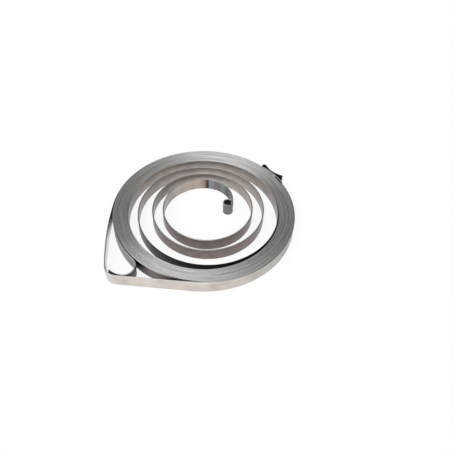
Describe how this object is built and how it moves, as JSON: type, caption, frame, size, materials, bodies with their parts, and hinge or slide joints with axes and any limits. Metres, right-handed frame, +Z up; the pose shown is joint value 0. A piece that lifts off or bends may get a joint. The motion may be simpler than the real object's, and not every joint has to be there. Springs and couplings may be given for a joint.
{
  "type": "recoil starter spring",
  "caption": "Flat spiral recoil starter spring of steel strip with a rolled inner eye and a hooked outer end, kept wound by a retaining band with a folded tab.",
  "frame": {"origin": "under the centre of the outline, on the plane that the strips' lower edges stand on", "axes": "+Z up along the coil's axis, +X to the right with the hook at the lower left, +Y to the back"},
  "size_m": [0.0784, 0.0772, 0.0055],
  "materials": {
    "spring_steel": "bright rolled strip, fine lines along its length, temper tint near the eye",
    "band_steel": "bright rolled strip, satin"
  },
  "bodies": {
    "root": {"spring_strip": "spring_steel", "retaining_band": "band_steel"}
  },
  "joints": []
}
